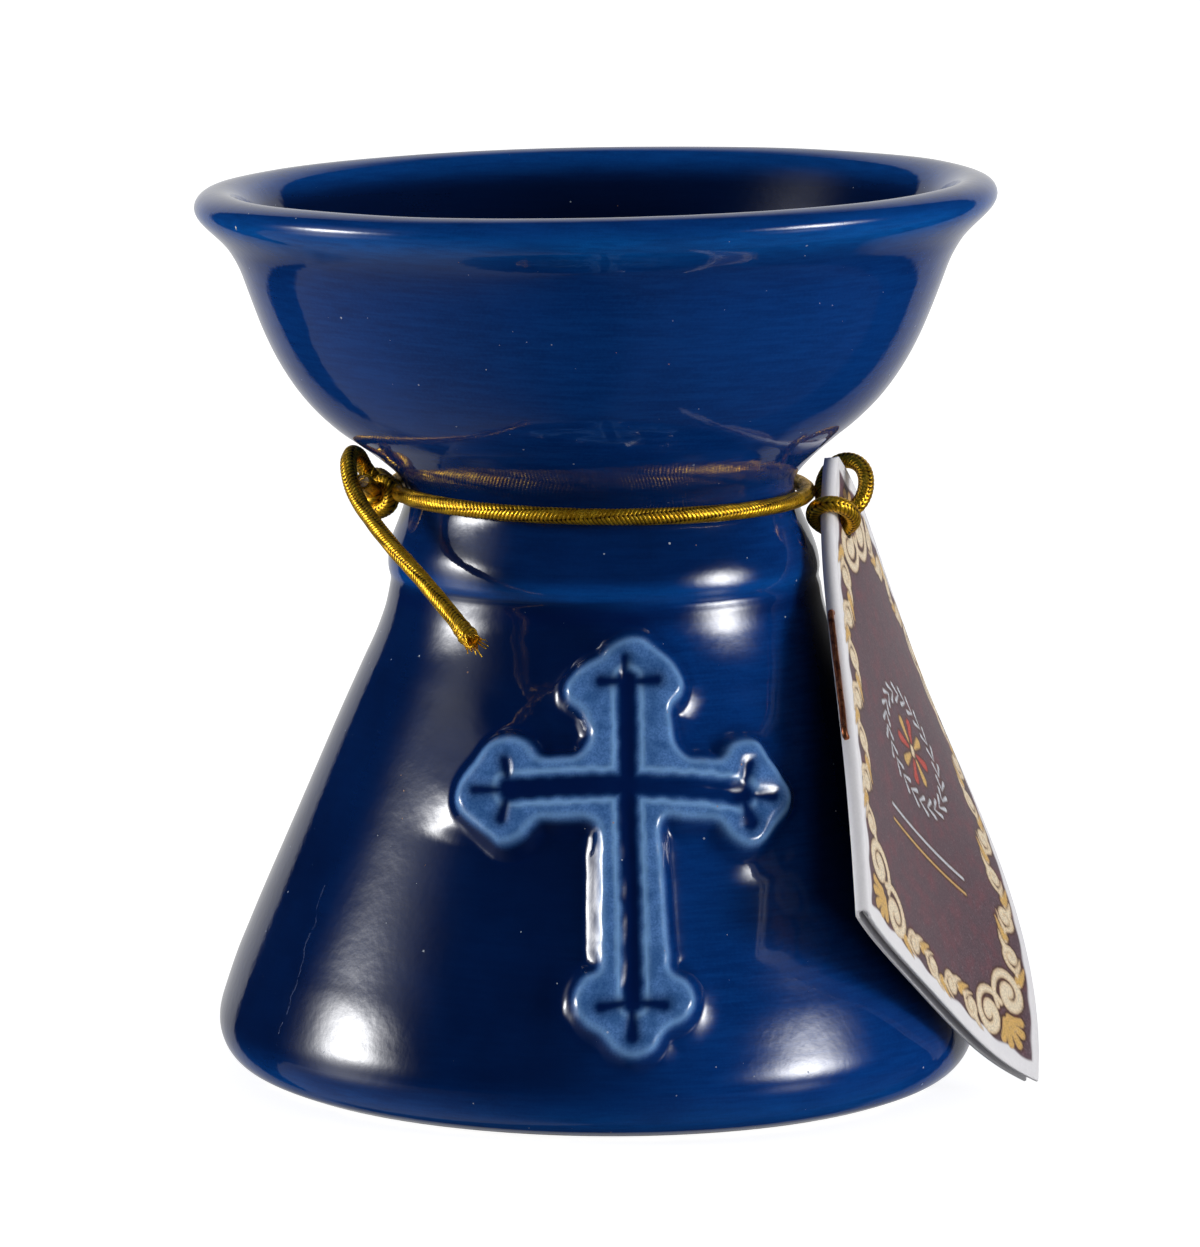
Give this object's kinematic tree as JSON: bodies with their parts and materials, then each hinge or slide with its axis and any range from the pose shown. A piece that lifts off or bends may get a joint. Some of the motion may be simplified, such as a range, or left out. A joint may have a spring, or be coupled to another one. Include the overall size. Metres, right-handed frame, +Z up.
{
  "type": "incense burner",
  "caption": "Small glazed ceramic incense burner: flared bowl on a narrow waist and conical base with a raised budded cross, and a paper tag hung from an elastic cord round the neck.",
  "frame": {"origin": "centre of the ceramic's bounding box on the surface it stands on", "axes": "+Z up, -Y towards the cross, +X towards the tag"},
  "size_m": [0.0758, 0.0712, 0.081],
  "materials": {
    "glaze": "gloss",
    "glaze_thin": "gloss",
    "gold_cord": "metallic braid",
    "printed_paper": "satin print",
    "paper": "matte",
    "copper_wire": "lacquered wire"
  },
  "bodies": {
    "burner": {"ceramic_body": "glaze", "cross_relief": "glaze_thin"},
    "neck_cord": {"cord_strand_front": "gold_cord", "cord_strand_back": "gold_cord", "cord_knot": "gold_cord", "cord_tail_long": "gold_cord", "cord_tail_short": "gold_cord"},
    "tag": {"cord_hitch_round": "gold_cord", "cord_hitch_over": "gold_cord", "tag_cover_back": "printed_paper", "tag_inner_leaf": "paper", "tag_staple": "copper_wire"},
    "tag_leaf": {"tag_cover_front": "printed_paper"}
  },
  "joints": [
    {"name": "cord_turns", "type": "hinge", "parent": "burner", "child": "neck_cord", "pos_m": [0.00062, 0, 0.0525], "axis": [-0.012, 0, 0.9999], "range_deg": [-20, 120]},
    {"name": "tag_swings", "type": "hinge", "parent": "neck_cord", "child": "tag", "pos_m": [0.0179, -0.0066, 0.0525], "axis": [-0.3579, -0.9338, 0], "range_deg": [-1, 9]},
    {"name": "cover_opens", "type": "hinge", "parent": "tag", "child": "tag_leaf", "pos_m": [0.0216, -0.0015, 0.0559], "axis": [0.052, -0.6646, -0.7454], "range_deg": [0, 8]}
  ]
}
